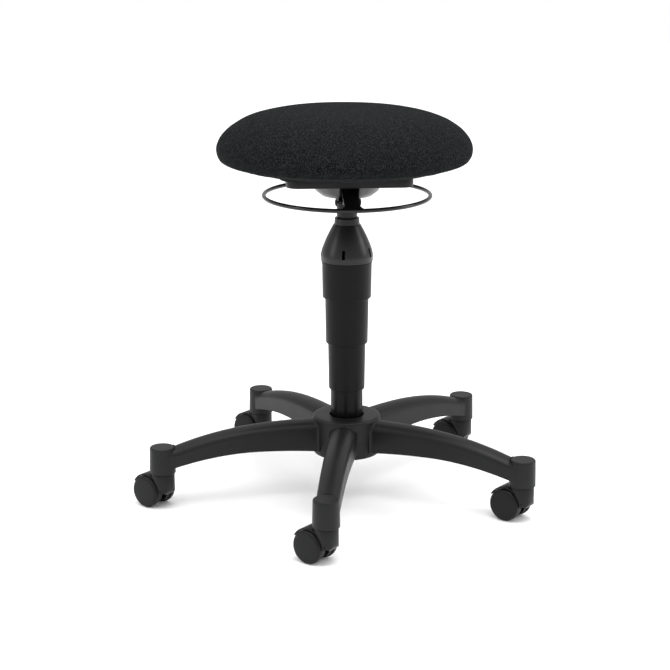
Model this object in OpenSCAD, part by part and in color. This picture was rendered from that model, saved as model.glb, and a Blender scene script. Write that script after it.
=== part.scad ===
// Adjustable swivel stool: five-arm castor base, gas lift under telescoping
// covers, ring handle for the height release, round upholstered seat.
// The origin is on the floor under the column, and one arm points along -Y.

/* [Base] */
// Distance from the column's axis to each castor stem
castor_circle_r = 292.5; // [260:1:330]
// Radius of the hub
hub_r = 53.5; // [50:0.5:60]
// Height of the hub
hub_h = 61; // [56:1:66]
// How far the hub's top stands above the barrels' tops
hub_rise = 35.1; // [25:0.1:45]
// How far an arm's ridge lies below the hub's top
root_drop = 5; // [3:0.5:12]
// How far an arm's ridge lies below its barrel's top
tip_drop = 0.9; // [0.5:0.1:8]
// Half the width of an arm at the hub
arm_root_half = 20; // [16:0.5:22]
// Half the width of an arm at the barrel
arm_tip_half = 17.2; // [14:0.1:18]
// Wall of the arms' open box section
arm_wall = 3.5; // [2.5:0.5:5]
// Thickness of the cross ribs under the arms
rib_t = 3; // [2:0.5:4]
// Radius of a castor barrel at its lower edge
barrel_r = 20.3; // [18.5:0.1:22]
// Height of a castor barrel
barrel_h = 41.7; // [38:0.1:46]
// Height from the wheels' top to the barrels' lower face
castor_clear = 6.2; // [6:0.1:9]

/* [Castors] */
// Wheel radius
wheel_r = 25; // [22:0.5:26]
// Width of one wheel
wheel_w = 18; // [15:0.5:19]
// Free space between a wheel and the castor's web
wheel_gap = 0.8; // [0.5:0.1:1.5]
// Half the thickness of the web between the wheels
web_half = 4.7; // [3.5:0.1:6]
// How far the axle trails behind the stem
trail = 20; // [16:0.5:22]
// Heading in which every castor trails, in degrees
castor_turn = 148; // [0:1:359]
// Axle radius
axle_r = 3; // [2.5:0.1:4]
// Stem radius
stem_r = 5.5; // [5:0.1:6]
// Length of stem held in the barrel
stem_grip = 32; // [24:1:36]

/* [Column] */
// Outer radius of the standing tube
tube_r = 25; // [24:0.5:25.5]
// Wall of the standing tube
tube_wall = 1.6; // [1.2:0.1:2.5]
// How far the standing tube rises above the hub
tube_rise = 152; // [140:1:160]
// Radius of the gas cylinder
cylinder_r = 14; // [13:0.5:15]
// Wall of the gas cylinder
cylinder_wall = 1.5; // [1:0.1:2]
// How far the gas cylinder reaches above the cone cover's lower edge
cylinder_reach = 111; // [108:1:115]
// Piston rod radius
rod_r = 5; // [4:0.5:6]
// Travel of the seat from its highest to its lowest setting
stroke = 130; // [100:1:130]

/* [Covers] */
// Step in radius from the tube to the lower cover
lower_step = 3; // [2.8:0.1:4]
// Step in radius from the lower to the middle cover
middle_step = 4.6; // [4.5:0.1:6]
// Step in radius from the middle to the upper cover
upper_step = 5; // [4.8:0.1:6]
// Step in radius from the upper cover to the cone
cone_step = 2.8; // [2.6:0.1:5]
// Length of the lower cover that shows with the seat raised
lower_show = 74.5; // [70:0.5:80]
// Length of the middle cover that shows with the seat raised
middle_show = 72.5; // [68:0.5:80]
// Length of the upper cover below the cone
upper_show = 58.5; // [58:0.5:70]
// Wall of the covers
cover_wall = 1.6; // [1.2:0.1:1.8]

/* [Release] */
// Radius of the ring handle's centreline
ring_r = 127; // [110:1:140]
// Radius of the ring handle's rod
ring_rod_r = 3.2; // [2.5:0.1:4]
// How far the ring handle hangs below the gas cylinder's top
ring_drop = 9.6; // [7:0.2:12]
// Pivot pin radius
pin_r = 2.5; // [2:0.1:3]
// Width of the strap that carries the ring
strap_w = 24; // [18:1:26]
// Thickness of the lever's sheet metal
sheet_t = 2.5; // [2:0.5:3]

/* [Seat] */
// Radius of the cushion at its widest
seat_r = 194; // [180:1:210]
// Height of the crown above the cushion's widest part
crown_h = 61; // [45:1:70]
// Height from the mounting plate to the cushion's widest part
rim_rise = 33.5; // [30:0.5:40]
// How far the seat board stays inside the cushion's edge
board_margin = 29; // [24:1:40]
// Thickness of the seat board
board_t = 12; // [10:1:14]
// Width of the mounting plate
plate_w = 190; // [170:2:200]
// Depth of the mounting plate
plate_d = 150; // [130:2:160]
// Height of the mounting plate's rim
plate_h = 13.5; // [12:0.5:14]
// Turn of the seat and plate about the column, in degrees
seat_turn = 10; // [-20:1:20]

/* [Hidden] */
$fn = 64;

arm_count = 5;
eps = 1;                  // overlap that keeps cuts and unions clean
press_gap = 0.02;         // radial gap of pieces pressed together
run_gap = 0.05;           // radial gap of shafts that turn
slide_gap = 0.3;          // radial gap of covers that slide

// Base
barrel_bottom = 2 * wheel_r + castor_clear;
barrel_top = barrel_bottom + barrel_h;
hub_top = barrel_top + hub_rise;
hub_bottom = hub_top - hub_h;
arm_root_top = hub_top - root_drop;
arm_tip_top = barrel_top - tip_drop;
hub_wall = 4;
hub_round = 3;
hub_taper = 1.5;
sleeve_r = tube_r + 4;
boss_r = sleeve_r + 4;
foot_r = tube_r + 2;
foot_depth = 12;
sleeve_bottom = hub_bottom + 4;
sleeve_top = hub_top - foot_depth;
web_count = 10;
barrel_draft = 0.9;
barrel_round = 2;
arm_start = hub_r - hub_wall - 3;
arm_end = castor_circle_r - barrel_r + 4;
arch_r = hub_r + 96.5;    // where the underside of an arm is highest
arch_top = hub_top - 48;
arch_root_drop = 5;
arch_tip_drop = 17.4;
ridge_power = 2.5;
arch_power = 1.9;
ridge_share = 0.7;        // height of the rounded ridge over the half width
steps = 10;
ridge_steps = 8;
chamber_count = 4;
chamber_from = hub_r + 2.5;
chamber_to = castor_circle_r - barrel_r - 26;

// Castors
collar_t = 0.8;
collar_r = stem_r + 3.5;
castor_top = barrel_bottom - collar_t - 0.2;
neck_r = barrel_r - 2;
stem_foot = barrel_bottom - 13.2;
stem_top = barrel_bottom + stem_grip;
stem_sleeve_t = 2;
grip_t = 0.8;
grip_z = stem_top - 8;
grip_h = 3;
bay_r = wheel_r + 1.2;
hood_r = bay_r + 2.2;
hood_half = web_half + wheel_gap + wheel_w - 6;
hood_back = 26;           // angle above level at which the hood ends
web_disc_r = axle_r + 10;
apron_tip = wheel_r - 3;
apron_x = 2;              // the shield curves in towards the wheels about this axis
apron_z = wheel_r + 14;
wheel_in = web_half + wheel_gap;
wheel_out = wheel_in + wheel_w;
wheel_rim = 3.5;
wheel_face = 3.5;
wheel_boss_r = 7;
drum_drop = 1.6;
drum_w = 8;
shoulder = 4.5;
face_dome = 1.2;
axle_half = wheel_in + wheel_w - wheel_face - 0.6;

// Column
tube_in = tube_r - tube_wall;
tube_top = hub_top + tube_rise;
tube_bottom = hub_bottom + 5;
tube_floor = 3;
floor_top = tube_bottom + tube_floor;
guide_h = 60;
race_r = rod_r + 8;
race_t = 2;
ball_r = 1.75;
ball_count = 8;
ball_ring = rod_r + 4;
cage_t = 1.2;
upper_race_z = floor_top + race_t + 2 * ball_r;
flange_z = upper_race_z + race_t;
flange_t = 2;
flange_r = rod_r + 4;
buffer_r = rod_r + 6;
buffer_h = 8.5;
buffer_top = flange_z + flange_t + buffer_h;
cylinder_bottom = buffer_top + 2 + stroke;
rod_top = cylinder_bottom + 20;
rod_bottom = hub_bottom;
washer_t = 1.5;
clip_t = 1.2;
clip_r = rod_r + 3;
seal_z = cylinder_bottom + 1;
seal_h = 9;
piston_h = 8;
cylinder_in = cylinder_r - cylinder_wall;
cylinder_lip = 1;
taper_drop = 0.9;
valve_r = 2.5;
valve_head_r = 3;

// Covers
lower_share = 0.32;       // share of the seat's travel that the lower cover makes
cover_clear = 0.9;
lower_r = tube_r + lower_step;
middle_r = lower_r + middle_step;
upper_r = middle_r + upper_step;
cone_r = upper_r + cone_step;
lower_z = hub_top + lower_share * stroke + cover_clear;
middle_z = lower_z + lower_show;
upper_z = middle_z + middle_show;
cone_z = upper_z + upper_show;
cover_flange_t = 3;
cover_lip_t = 2;
cover_rim = 0.8;
lower_top = middle_z + cover_lip_t + cover_flange_t + slide_gap;
middle_top = upper_z + cover_lip_t + cover_flange_t + slide_gap;
cover_draft = 1 / 66;
lower_round = 3;
middle_round = 3;
upper_round = 4;
cone_lip = 4;
cone_wide_z = cone_z + 8;
cone_end = cone_z + 56;
cone_end_r = cylinder_r + 6.9;
cone_power = 1.4;
collar_low_r = cylinder_r + 5.5;
collar_top_r = cylinder_r + 4.75;
collar_top = cone_z + 66.7;
slot_w = 4.5;
slot_h = 14;
slot_turn = -92;

// Release
cylinder_top = cone_z + cylinder_reach;
taper_z = cylinder_top - 43;
chamber_top = taper_z + 6;
valve_foot = cylinder_top - 22;
tongue_z = cylinder_top + 5.3;
valve_head = tongue_z - 0.3;
ring_z = cylinder_top - ring_drop;
socket_r = cylinder_r + 1.7;
pivot_y = -socket_r - 5.3;
pivot_z = cylinder_top - 17;
lug_in = cylinder_r - 1.5;
lug_t = 2.5;
lug_r = 5.5;
cheek_in = lug_in + lug_t + 1.5;
cheek_t = 2;
cheek_r = 6;
cheek_back = pivot_y + cheek_r;
cheek_front = pivot_y - cheek_r;
bracket_in = cheek_in + cheek_t + 4;
bracket_t = 3;
bracket_y = socket_r + 6.3;
bracket_z = cylinder_top - 4;
bracket_front = cheek_back + 3;
pin_half = cheek_in + cheek_t + 1.5;
clip_in = cheek_in + cheek_t + 0.3;
strap_bend_y = 50;
strap_end_y = ring_r - 1;
strap_flare = 6;
rear_w = 14;
tongue_half = 8;
spring_r = pin_r + 0.9;
spring_wire = 0.8;
spring_half = 8;
spring_turns = 5;
spring_leg = 24;
spring_lean = 45;

// Bowl and plate
plate_z = cylinder_top + 14;
plate_t = 3;
plate_corner = 18;
plate_wall = 2.5;
plate_top = plate_z + plate_h;
bowl_t = 1.5;
bowl_r = 56;
bowl_mid_r = 48;
bowl_low_r = 39;
bowl_floor_r = 28;
bowl_z = plate_z - 25.5;
bowl_mid_z = bowl_z + 10;
bowl_low_z = bowl_z + 2.8;
bowl_hole = socket_r + 0.3;
slot_front_half = strap_w / 2 + 3;
cheek_slot = cheek_in + cheek_t + 1.5;
slot_rear_half = rear_w / 2 + 2;
slot_rear_y = bowl_floor_r + 3.5;
screw_x = plate_w / 2 - 35;
screw_y = plate_d / 2 - 30;
screw_r = 3;
screw_head_r = 5.5;
screw_head_t = 3;
spacer_r = 9;
nut_r = 4.2;
nut_flange_r = 9;
nut_flange_t = 1.5;
nut_h = 12;

// Seat
pan_gap = 0.3;
board_r = seat_r - board_margin;
boss_pan_r = norm([screw_x, screw_y]) + 13;
boss_pan_h = 12;
board_z = plate_top + boss_pan_h;
board_top = board_z + board_t;
cushion_x = -4.7;
cushion_y = -0.5;
belly_r = boss_pan_r + 10;
belly_top_r = belly_r + 12;
belly_rise = 9;
rim_in = 18;
rim_z = plate_top + 11.5;
seat_wide_z = plate_top + rim_rise;
seat_top = seat_wide_z + crown_h;
crown_side = 3.4;
crown_top = 1.84;
crown_steps = 14;

// Points of an arc about [x, y], from one angle to another
function arc(x, y, r, from, to, n = 5) =
    [for (i = [0:n]) let (a = from + (to - from) * i / n) [x + r * cos(a), y + r * sin(a)]];

// Height of an arm's ridge, and of its lower edge, at a distance from the axis
function arm_share(r) = max(0, (r - hub_r) / (castor_circle_r - barrel_r - hub_r));
function arm_ridge(r) = arm_root_top - (arm_root_top - arm_tip_top) * pow(arm_share(r), ridge_power);
function arm_under(r) = r < arch_r
    ? arch_top - arch_root_drop * pow((arch_r - r) / (arch_r - hub_r), 2)
    : arch_top - arch_tip_drop * pow((r - arch_r) / (castor_circle_r - barrel_r - arch_r), arch_power);
function arm_half(r) = arm_root_half + (arm_tip_half - arm_root_half) * min(1, arm_share(r));

// Section of an arm: flat sides under a rounded ridge, inset for its hollow
function arm_section(r, inset, drop) =
    let (
        half = arm_half(r) - inset,
        top = arm_ridge(r) - inset,
        low = arm_under(r) - drop,
        rise = half * ridge_share
    )
    concat(
        [[r, -half, low], [r, half, low]],
        [for (i = [0:ridge_steps]) let (a = 180 * i / ridge_steps)
            [r, half * cos(a), top - rise + rise * sin(a)]]
    );

// A straight length of arm between two distances from the axis
module arm_run(from, to, inset, drop, count) {
    rows = [for (i = [0:count]) arm_section(from + (to - from) * i / count, inset, drop)];
    width = len(rows[0]);
    polyhedron(
        points = [for (row = rows) each row],
        faces = concat(
            [[for (j = [0:width - 1]) j]],
            [[for (j = [width - 1:-1:0]) count * width + j]],
            [for (i = [0:count - 1], j = [0:width - 1])
                let (k = (j + 1) % width)
                [i * width + j, (i + 1) * width + j, (i + 1) * width + k, i * width + k]]
        )
    );
}

// Copies one arm's or castor's children to its place on the base
module at_arm(index) {
    rotate([0, 0, -90 + 360 / arm_count * (index - 1)])
        children();
}

module at_stem(index) {
    angle = -90 + 360 / arm_count * (index - 1);
    translate([castor_circle_r * cos(angle), castor_circle_r * sin(angle), 0])
        children();
}

// A castor's own frame: it trails along +X, its axle lies along Y
module at_castor(index) {
    at_stem(index)
        rotate([0, 0, castor_turn])
            children();
}

module ring(outer, inner, low, high) {
    translate([0, 0, low])
        difference() {
            cylinder(h = high - low, r = outer);
            translate([0, 0, -eps])
                cylinder(h = high - low + 2 * eps, r = inner);
        }
}

// Lays an outline of [y, z] points along X, centred, with the given width
module across(width) {
    rotate([90, 0, 90])
        linear_extrude(height = width, center = true)
            children();
}

module arm() {
    chamber = (chamber_to - chamber_from) / chamber_count;
    difference() {
        arm_run(arm_start, arm_end, 0, 0, steps);
        for (i = [0:chamber_count - 1])
            arm_run(chamber_from + chamber * i + rib_t / 2,
                chamber_from + chamber * (i + 1) - rib_t / 2, arm_wall, eps, 2);
    }
}

module hub_shell() {
    rotate_extrude()
        polygon(concat(
            [[foot_r, hub_top], [foot_r, sleeve_top], [sleeve_r + press_gap, sleeve_top]],
            [[sleeve_r + press_gap, sleeve_bottom], [boss_r, sleeve_bottom]],
            [[boss_r, hub_top - hub_wall], [hub_r - hub_wall, hub_top - hub_wall]],
            [[hub_r - hub_wall - hub_taper, hub_bottom], [hub_r - hub_taper, hub_bottom]],
            arc(hub_r - hub_round, hub_top - hub_round, hub_round, 0, 90)
        ));
}

module hub_webs() {
    inner = boss_r - eps / 2;
    outer = hub_r - hub_wall + eps / 2;
    for (i = [0:web_count - 1])
        rotate([0, 0, -90 + 360 / web_count * i])
            translate([inner, -rib_t / 2, sleeve_bottom])
                cube([outer - inner, rib_t, hub_top - hub_wall / 2 - sleeve_bottom]);
}

module barrel() {
    top_r = barrel_r - barrel_draft;
    bore = stem_r + stem_sleeve_t + press_gap;
    bore_top = stem_top + 2;
    rotate_extrude()
        polygon(concat(
            [[0, bore_top], [bore, bore_top], [bore, barrel_bottom]],
            [[barrel_r - 0.5, barrel_bottom], [barrel_r, barrel_bottom + 0.5]],
            arc(top_r - barrel_round, barrel_top - barrel_round, barrel_round, 0, 90),
            [[0, barrel_top]]
        ));
}

module base_star() {
    color("#2e3030") {
        hub_shell();
        hub_webs();
        for (i = [1:arm_count]) {
            at_arm(i)
                arm();
            at_stem(i)
                barrel();
        }
    }
}

module hub_sleeve() {
    color("#8a8d90")
        ring(sleeve_r, tube_r + press_gap, sleeve_bottom, sleeve_top);
}

module stem_sleeves() {
    color("#9a9c9e")
        for (i = [1:arm_count])
            at_stem(i)
                ring(stem_r + stem_sleeve_t, stem_r + grip_t + 2 * press_gap, barrel_bottom, stem_top);
}

module grip_rings() {
    color("#c4c6c8")
        for (i = [1:arm_count])
            at_stem(i)
                difference() {
                    ring(stem_r + grip_t, stem_r + press_gap, grip_z, grip_z + grip_h);
                    translate([0, -eps, grip_z - eps])
                        cube([stem_r + 2 * eps, 2 * eps, grip_h + 2 * eps]);
                }
}

module castor_stem(index) {
    color("#b4b6b8")
        at_stem(index) {
            translate([0, 0, stem_foot])
                cylinder(h = stem_top - stem_foot, r = stem_r);
            translate([0, 0, barrel_bottom - collar_t])
                cylinder(h = collar_t, r = collar_r);
        }
}

// Outline of the hood over both wheels, seen from the side
module hood_outline() {
    intersection() {
        circle(r = hood_r);
        union() {
            translate([-hood_r, hood_r * sin(hood_back)])
                square([2 * hood_r, hood_r]);
            translate([-hood_r, 0])
                square([hood_r, hood_r]);
        }
    }
}

module hood() {
    intersection() {
        translate([trail, 0, wheel_r])
            rotate([90, 0, 0])
                linear_extrude(height = 2 * hood_half, center = true)
                    hood_outline();
        union() {
            translate([0, 0, wheel_r])
                cylinder(h = hood_r, r = neck_r);
            translate([trail, -hood_half, wheel_r])
                cube([2 * hood_r, 2 * hood_half, hood_r]);
            translate([0, -neck_r, wheel_r])
                cube([trail, 2 * neck_r, hood_r]);
        }
    }
}

// Front shield: the neck's round wall running down to a rounded tip
module apron() {
    intersection() {
        translate([0, 0, apron_tip])
            cylinder(h = castor_top - apron_tip, r = neck_r);
        across(3 * neck_r)
            union() {
                translate([0, apron_tip + neck_r])
                    circle(r = neck_r);
                translate([-neck_r, apron_tip + neck_r])
                    square([2 * neck_r, castor_top]);
            }
        translate([apron_x, 0, 0])
            rotate([90, 0, 0])
                linear_extrude(height = 3 * neck_r, center = true)
                    union() {
                        translate([0, apron_z])
                            circle(r = apron_x + neck_r + 0.5);
                        translate([-apron_x - 2 * neck_r, apron_z])
                            square([4 * neck_r, castor_top]);
                    }
    }
}

module web() {
    translate([trail, 0, wheel_r])
        rotate([90, 0, 0]) {
            cylinder(h = 2 * web_half, r = web_disc_r, center = true);
            linear_extrude(height = 2 * web_half, center = true)
                intersection() {
                    circle(r = bay_r + eps / 2);
                    translate([-bay_r - eps, 0])
                        square([bay_r + web_disc_r + eps, bay_r + eps]);
                }
        }
}

module castor_body(index) {
    color("#2b2d2e")
        at_castor(index)
            difference() {
                union() {
                    difference() {
                        union() {
                            hood();
                            apron();
                        }
                        translate([trail, 0, wheel_r])
                            rotate([90, 0, 0])
                                cylinder(h = 4 * wheel_out, r = bay_r, center = true);
                    }
                    web();
                }
                translate([0, 0, stem_foot - 0.5])
                    cylinder(h = castor_top, r = stem_r + run_gap);
                translate([trail, 0, wheel_r])
                    rotate([90, 0, 0])
                        cylinder(h = 4 * web_half, r = axle_r + press_gap, center = true);
            }
}

module axle(index) {
    color("#a8aaac")
        at_castor(index)
            translate([trail, 0, wheel_r])
                rotate([90, 0, 0])
                    cylinder(h = 2 * axle_half, r = axle_r, center = true);
}

module wheel() {
    outer = wheel_w - face_dome;
    inner_face = wheel_w - wheel_face;
    translate([trail, 0, wheel_r])
        rotate([-90, 0, 0])
            translate([0, 0, wheel_in])
                rotate_extrude()
                    polygon(concat(
                        [[axle_r + run_gap, 0], [wheel_boss_r, 0], [wheel_boss_r, inner_face - 1]],
                        [[wheel_r - drum_drop - wheel_rim, inner_face - 1]],
                        [[wheel_r - drum_drop - wheel_rim, 0], [wheel_r - drum_drop - 0.5, 0]],
                        [[wheel_r - drum_drop, 0.5], [wheel_r - drum_drop, drum_w]],
                        [[wheel_r - 1, drum_w], [wheel_r, drum_w + 1]],
                        arc(wheel_r - shoulder, outer - shoulder, shoulder, 0, 75, 4),
                        [[wheel_r / 2, wheel_w - face_dome / 3], [0, wheel_w]],
                        [[0, inner_face], [axle_r + run_gap, inner_face]]
                    ));
}

module wheel_left(index) {
    color("#343738")
        at_castor(index)
            wheel();
}

module wheel_right(index) {
    color("#343738")
        at_castor(index)
            mirror([0, 1, 0])
                wheel();
}

module outer_tube() {
    color("#141516") {
        ring(tube_r, tube_in, tube_bottom, tube_top);
        ring(tube_in + tube_wall / 2, rod_r + 0.5, tube_bottom, floor_top);
    }
}

module guide_bush() {
    color("#55585a")
        ring(tube_in - press_gap, cylinder_r + run_gap, tube_top - guide_h, tube_top);
}

module bearing_race() {
    color("#b4b6b8")
        ring(race_r, rod_r + 0.5, floor_top, floor_top + race_t);
}

module ball_cage() {
    middle = floor_top + race_t + ball_r;
    color("#c9a14a") {
        ring(race_r - 1, rod_r + 1, middle - cage_t / 2, middle + cage_t / 2);
        for (i = [0:ball_count - 1])
            rotate([0, 0, 360 / ball_count * i])
                translate([ball_ring, 0, middle])
                    sphere(r = ball_r - press_gap);
    }
}

module bottom_washer() {
    color("#b4b6b8")
        ring(race_r, rod_r + 0.5, tube_bottom - washer_t, tube_bottom);
}

module piston_rod() {
    color("#d0d2d4") {
        translate([0, 0, rod_bottom])
            cylinder(h = rod_top - rod_bottom, r = rod_r);
        translate([0, 0, flange_z])
            cylinder(h = flange_t, r = flange_r);
    }
}

module upper_race() {
    color("#b4b6b8")
        ring(race_r, rod_r + press_gap, upper_race_z, flange_z);
}

module retaining_clip() {
    top = tube_bottom - washer_t - 0.2;
    color("#8a8d90")
        difference() {
            ring(clip_r, rod_r + press_gap, top - clip_t, top);
            translate([0, -clip_r / 4, top - clip_t - eps])
                cube([clip_r + eps, clip_r / 2, clip_t + 2 * eps]);
        }
}

module rubber_buffer() {
    color("#202122")
        ring(buffer_r, rod_r + press_gap, flange_z + flange_t, buffer_top);
}

module piston() {
    low = seal_z + seal_h + 1;
    color("#9a9c9e")
        ring(cylinder_in - run_gap, rod_r + press_gap, low, low + piston_h);
}

module gas_cylinder() {
    top_r = cylinder_r - taper_drop;
    color("#1b1c1d")
        rotate_extrude()
            polygon([
                [rod_r + 2, cylinder_bottom],
                [cylinder_r, cylinder_bottom],
                [cylinder_r, taper_z],
                [top_r, cylinder_top],
                [valve_r + run_gap, cylinder_top],
                [valve_r + run_gap, valve_foot - 4],
                [0, valve_foot - 4],
                [0, chamber_top],
                [cylinder_in, chamber_top],
                [cylinder_in, cylinder_bottom + cylinder_lip],
                [rod_r + 2, cylinder_bottom + cylinder_lip]
            ]);
}

module rod_seal() {
    color("#303234")
        ring(cylinder_in - press_gap, rod_r + run_gap, seal_z, seal_z + seal_h);
}

module valve_pin() {
    color("#c4c6c8") {
        translate([0, 0, valve_foot])
            cylinder(h = valve_head - valve_foot, r = valve_r);
        translate([0, 0, valve_head - 1])
            cylinder(h = 1, r = valve_head_r);
    }
}

// A telescoping cover: outward flange on top, inward lip below, rounded lower edge
module cover(low_r, low, high, top_flange, low_lip, edge) {
    high_r = low_r + (high - low) * cover_draft;
    color("#242627")
        rotate_extrude()
            polygon(concat(
                [[low_lip, low + cover_lip_t], [low_lip, low]],
                arc(low_r - edge / 2, low + edge / 2, edge / 2, -90, 0, 4),
                [[high_r, high - cover_flange_t], [top_flange, high - cover_flange_t]],
                [[top_flange, high], [high_r - cover_wall, high]],
                [[low_r - cover_wall, low + cover_lip_t]]
            ));
}

module shroud_lower() {
    flange = middle_r - cover_wall - slide_gap;
    cover(lower_r, lower_z, lower_top, flange, tube_r + 2 * slide_gap, lower_round);
}

module shroud_middle() {
    inner = lower_r + (lower_top - lower_z) * cover_draft + slide_gap;
    flange = upper_r - cover_wall - slide_gap;
    cover(middle_r, middle_z, middle_top, flange, inner, middle_round);
}

module shroud_upper() {
    inner = middle_r + (middle_top - middle_z) * cover_draft + slide_gap;
    rim = upper_r + (cone_z - upper_z) * cover_draft + cover_rim;
    cover(upper_r, upper_z, cone_z, rim, inner, upper_round);
}

function cone_at(z) =
    cone_r - (cone_r - cone_end_r) * pow((z - cone_wide_z) / (cone_end - cone_wide_z), cone_power);

module cone_cover() {
    heights = [for (i = [0:8]) cone_wide_z + (cone_end - cone_wide_z) * i / 8];
    wall = cover_wall;
    color("#2a2c2d")
        difference() {
            rotate_extrude()
                polygon(concat(
                    [[cone_r - 5, cone_z], [cone_r - 0.3, cone_z], [cone_r - 0.3, cone_z + cone_lip]],
                    [for (z = heights) [cone_at(z), z]],
                    [[collar_low_r, cone_end + 0.7], [collar_top_r, collar_top]],
                    [[cylinder_r + slide_gap, collar_top], [cylinder_r + slide_gap, cone_end - 2]],
                    [for (i = [7:-1:0]) [cone_at(heights[i]) - wall - 0.6, heights[i]]],
                    [[cone_r - 5, cone_z + cone_lip]]
                ));
            for (i = [0:4])
                rotate([0, 0, slot_turn + 72 * i])
                    translate([cone_r - 12, -slot_w / 2, cone_wide_z])
                        cube([14, slot_w, slot_h]);
        }
}

// Everything of the release stands square to the mounting plate
module at_seat() {
    rotate([0, 0, seat_turn])
        children();
}

module pivot_bore(radius, width) {
    translate([0, pivot_y, pivot_z])
        rotate([0, 90, 0])
            cylinder(h = width, r = radius, center = true);
}

module lugs() {
    for (side = [-1, 1])
        translate([side * (lug_in + lug_t / 2), 0, 0])
            across(lug_t)
                union() {
                    translate([pivot_y, pivot_z])
                        circle(r = lug_r);
                    translate([pivot_y, pivot_z - lug_r])
                        square([-pivot_y - cylinder_r / 2, 2 * lug_r]);
                }
}

module bracket() {
    depth = bracket_y - bracket_front;
    half = bracket_in + bracket_t;
    translate([-half, bracket_front, bracket_z])
        cube([2 * half, depth, bracket_t]);
    for (side = [-1, 1])
        translate([side * (bracket_in + bracket_t / 2) - bracket_t / 2, bracket_front, bracket_z])
            cube([bracket_t, depth, plate_z - bracket_z]);
}

module taper_socket() {
    top_r = cylinder_r - taper_drop + press_gap;
    color("#1d1f20")
        difference() {
            union() {
                translate([0, 0, taper_z])
                    cylinder(h = cylinder_top - taper_z, r = socket_r);
                at_seat() {
                    lugs();
                    bracket();
                }
            }
            rotate_extrude()
                polygon([
                    [0, taper_z],
                    [cylinder_r + press_gap, taper_z],
                    [top_r, cylinder_top],
                    [top_r, cylinder_top + eps],
                    [0, cylinder_top + eps]
                ]);
            translate([0, 0, taper_z - eps])
                cylinder(h = 2 * eps, r = cylinder_r + press_gap);
            at_seat()
                pivot_bore(pin_r, 4 * lug_in);
        }
}

module bowl() {
    mid = bowl_mid_r - bowl_t;
    low = bowl_low_r - bowl_t;
    color("#77797b")
        difference() {
            rotate_extrude()
                polygon([
                    [bowl_hole, bowl_z],
                    [bowl_floor_r, bowl_z],
                    [bowl_low_r, bowl_low_z],
                    [bowl_mid_r, bowl_mid_z],
                    [bowl_r, plate_z],
                    [bowl_r - 2 * bowl_t, plate_z],
                    [mid, bowl_mid_z + bowl_t / 2],
                    [low, bowl_low_z + bowl_t],
                    [bowl_floor_r - bowl_t, bowl_z + bowl_t],
                    [bowl_hole, bowl_z + bowl_t]
                ]);
            at_seat() {
                translate([-slot_front_half, -bowl_r - eps, bowl_z - eps])
                    cube([2 * slot_front_half, bowl_r, plate_z]);
                translate([-cheek_slot, cheek_front - 4, bowl_z - eps])
                    cube([2 * cheek_slot, -cheek_front, bracket_z - bowl_z + 2 * eps]);
                translate([-slot_rear_half, slot_rear_y, bowl_z - eps])
                    cube([2 * slot_rear_half, bowl_r, plate_z]);
            }
        }
}

module plate_outline(inset) {
    x = plate_w / 2 - plate_corner;
    y = plate_d / 2 - plate_corner;
    square([2 * x, plate_d - 2 * inset], center = true);
    square([plate_w - 2 * inset, 2 * y], center = true);
    for (sx = [-1, 1], sy = [-1, 1])
        translate([sx * x, sy * y])
            circle(r = plate_corner - inset);
}

module at_screws() {
    at_seat()
        for (sx = [-1, 1], sy = [-1, 1])
            translate([sx * screw_x, sy * screw_y, 0])
                children();
}

module mount_plate() {
    color("#18191a")
        difference() {
            union() {
                at_seat()
                    translate([0, 0, plate_z])
                        difference() {
                            linear_extrude(height = plate_h)
                                plate_outline(0);
                            translate([0, 0, plate_t])
                                linear_extrude(height = plate_h)
                                    plate_outline(plate_wall);
                        }
                at_screws()
                    translate([0, 0, plate_z + plate_t / 2])
                        cylinder(h = plate_h - plate_t / 2, r = spacer_r);
            }
            at_screws()
                translate([0, 0, plate_z - eps])
                    cylinder(h = plate_h + 2 * eps, r = screw_r + 2 * press_gap);
        }
}

module plate_screws() {
    color("#a8aaac")
        at_screws() {
            translate([0, 0, plate_z - screw_head_t])
                cylinder(h = screw_head_t, r = screw_head_r);
            translate([0, 0, plate_z - screw_head_t / 2])
                cylinder(h = board_top - 4 - plate_z + screw_head_t / 2, r = screw_r);
        }
}

module tee_nuts() {
    color("#c9cbcd")
        at_screws() {
            ring(nut_r, screw_r + press_gap, board_top - nut_h, board_top - nut_flange_t / 2);
            ring(nut_flange_r, screw_r + press_gap, board_top - nut_flange_t, board_top);
        }
}

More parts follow.
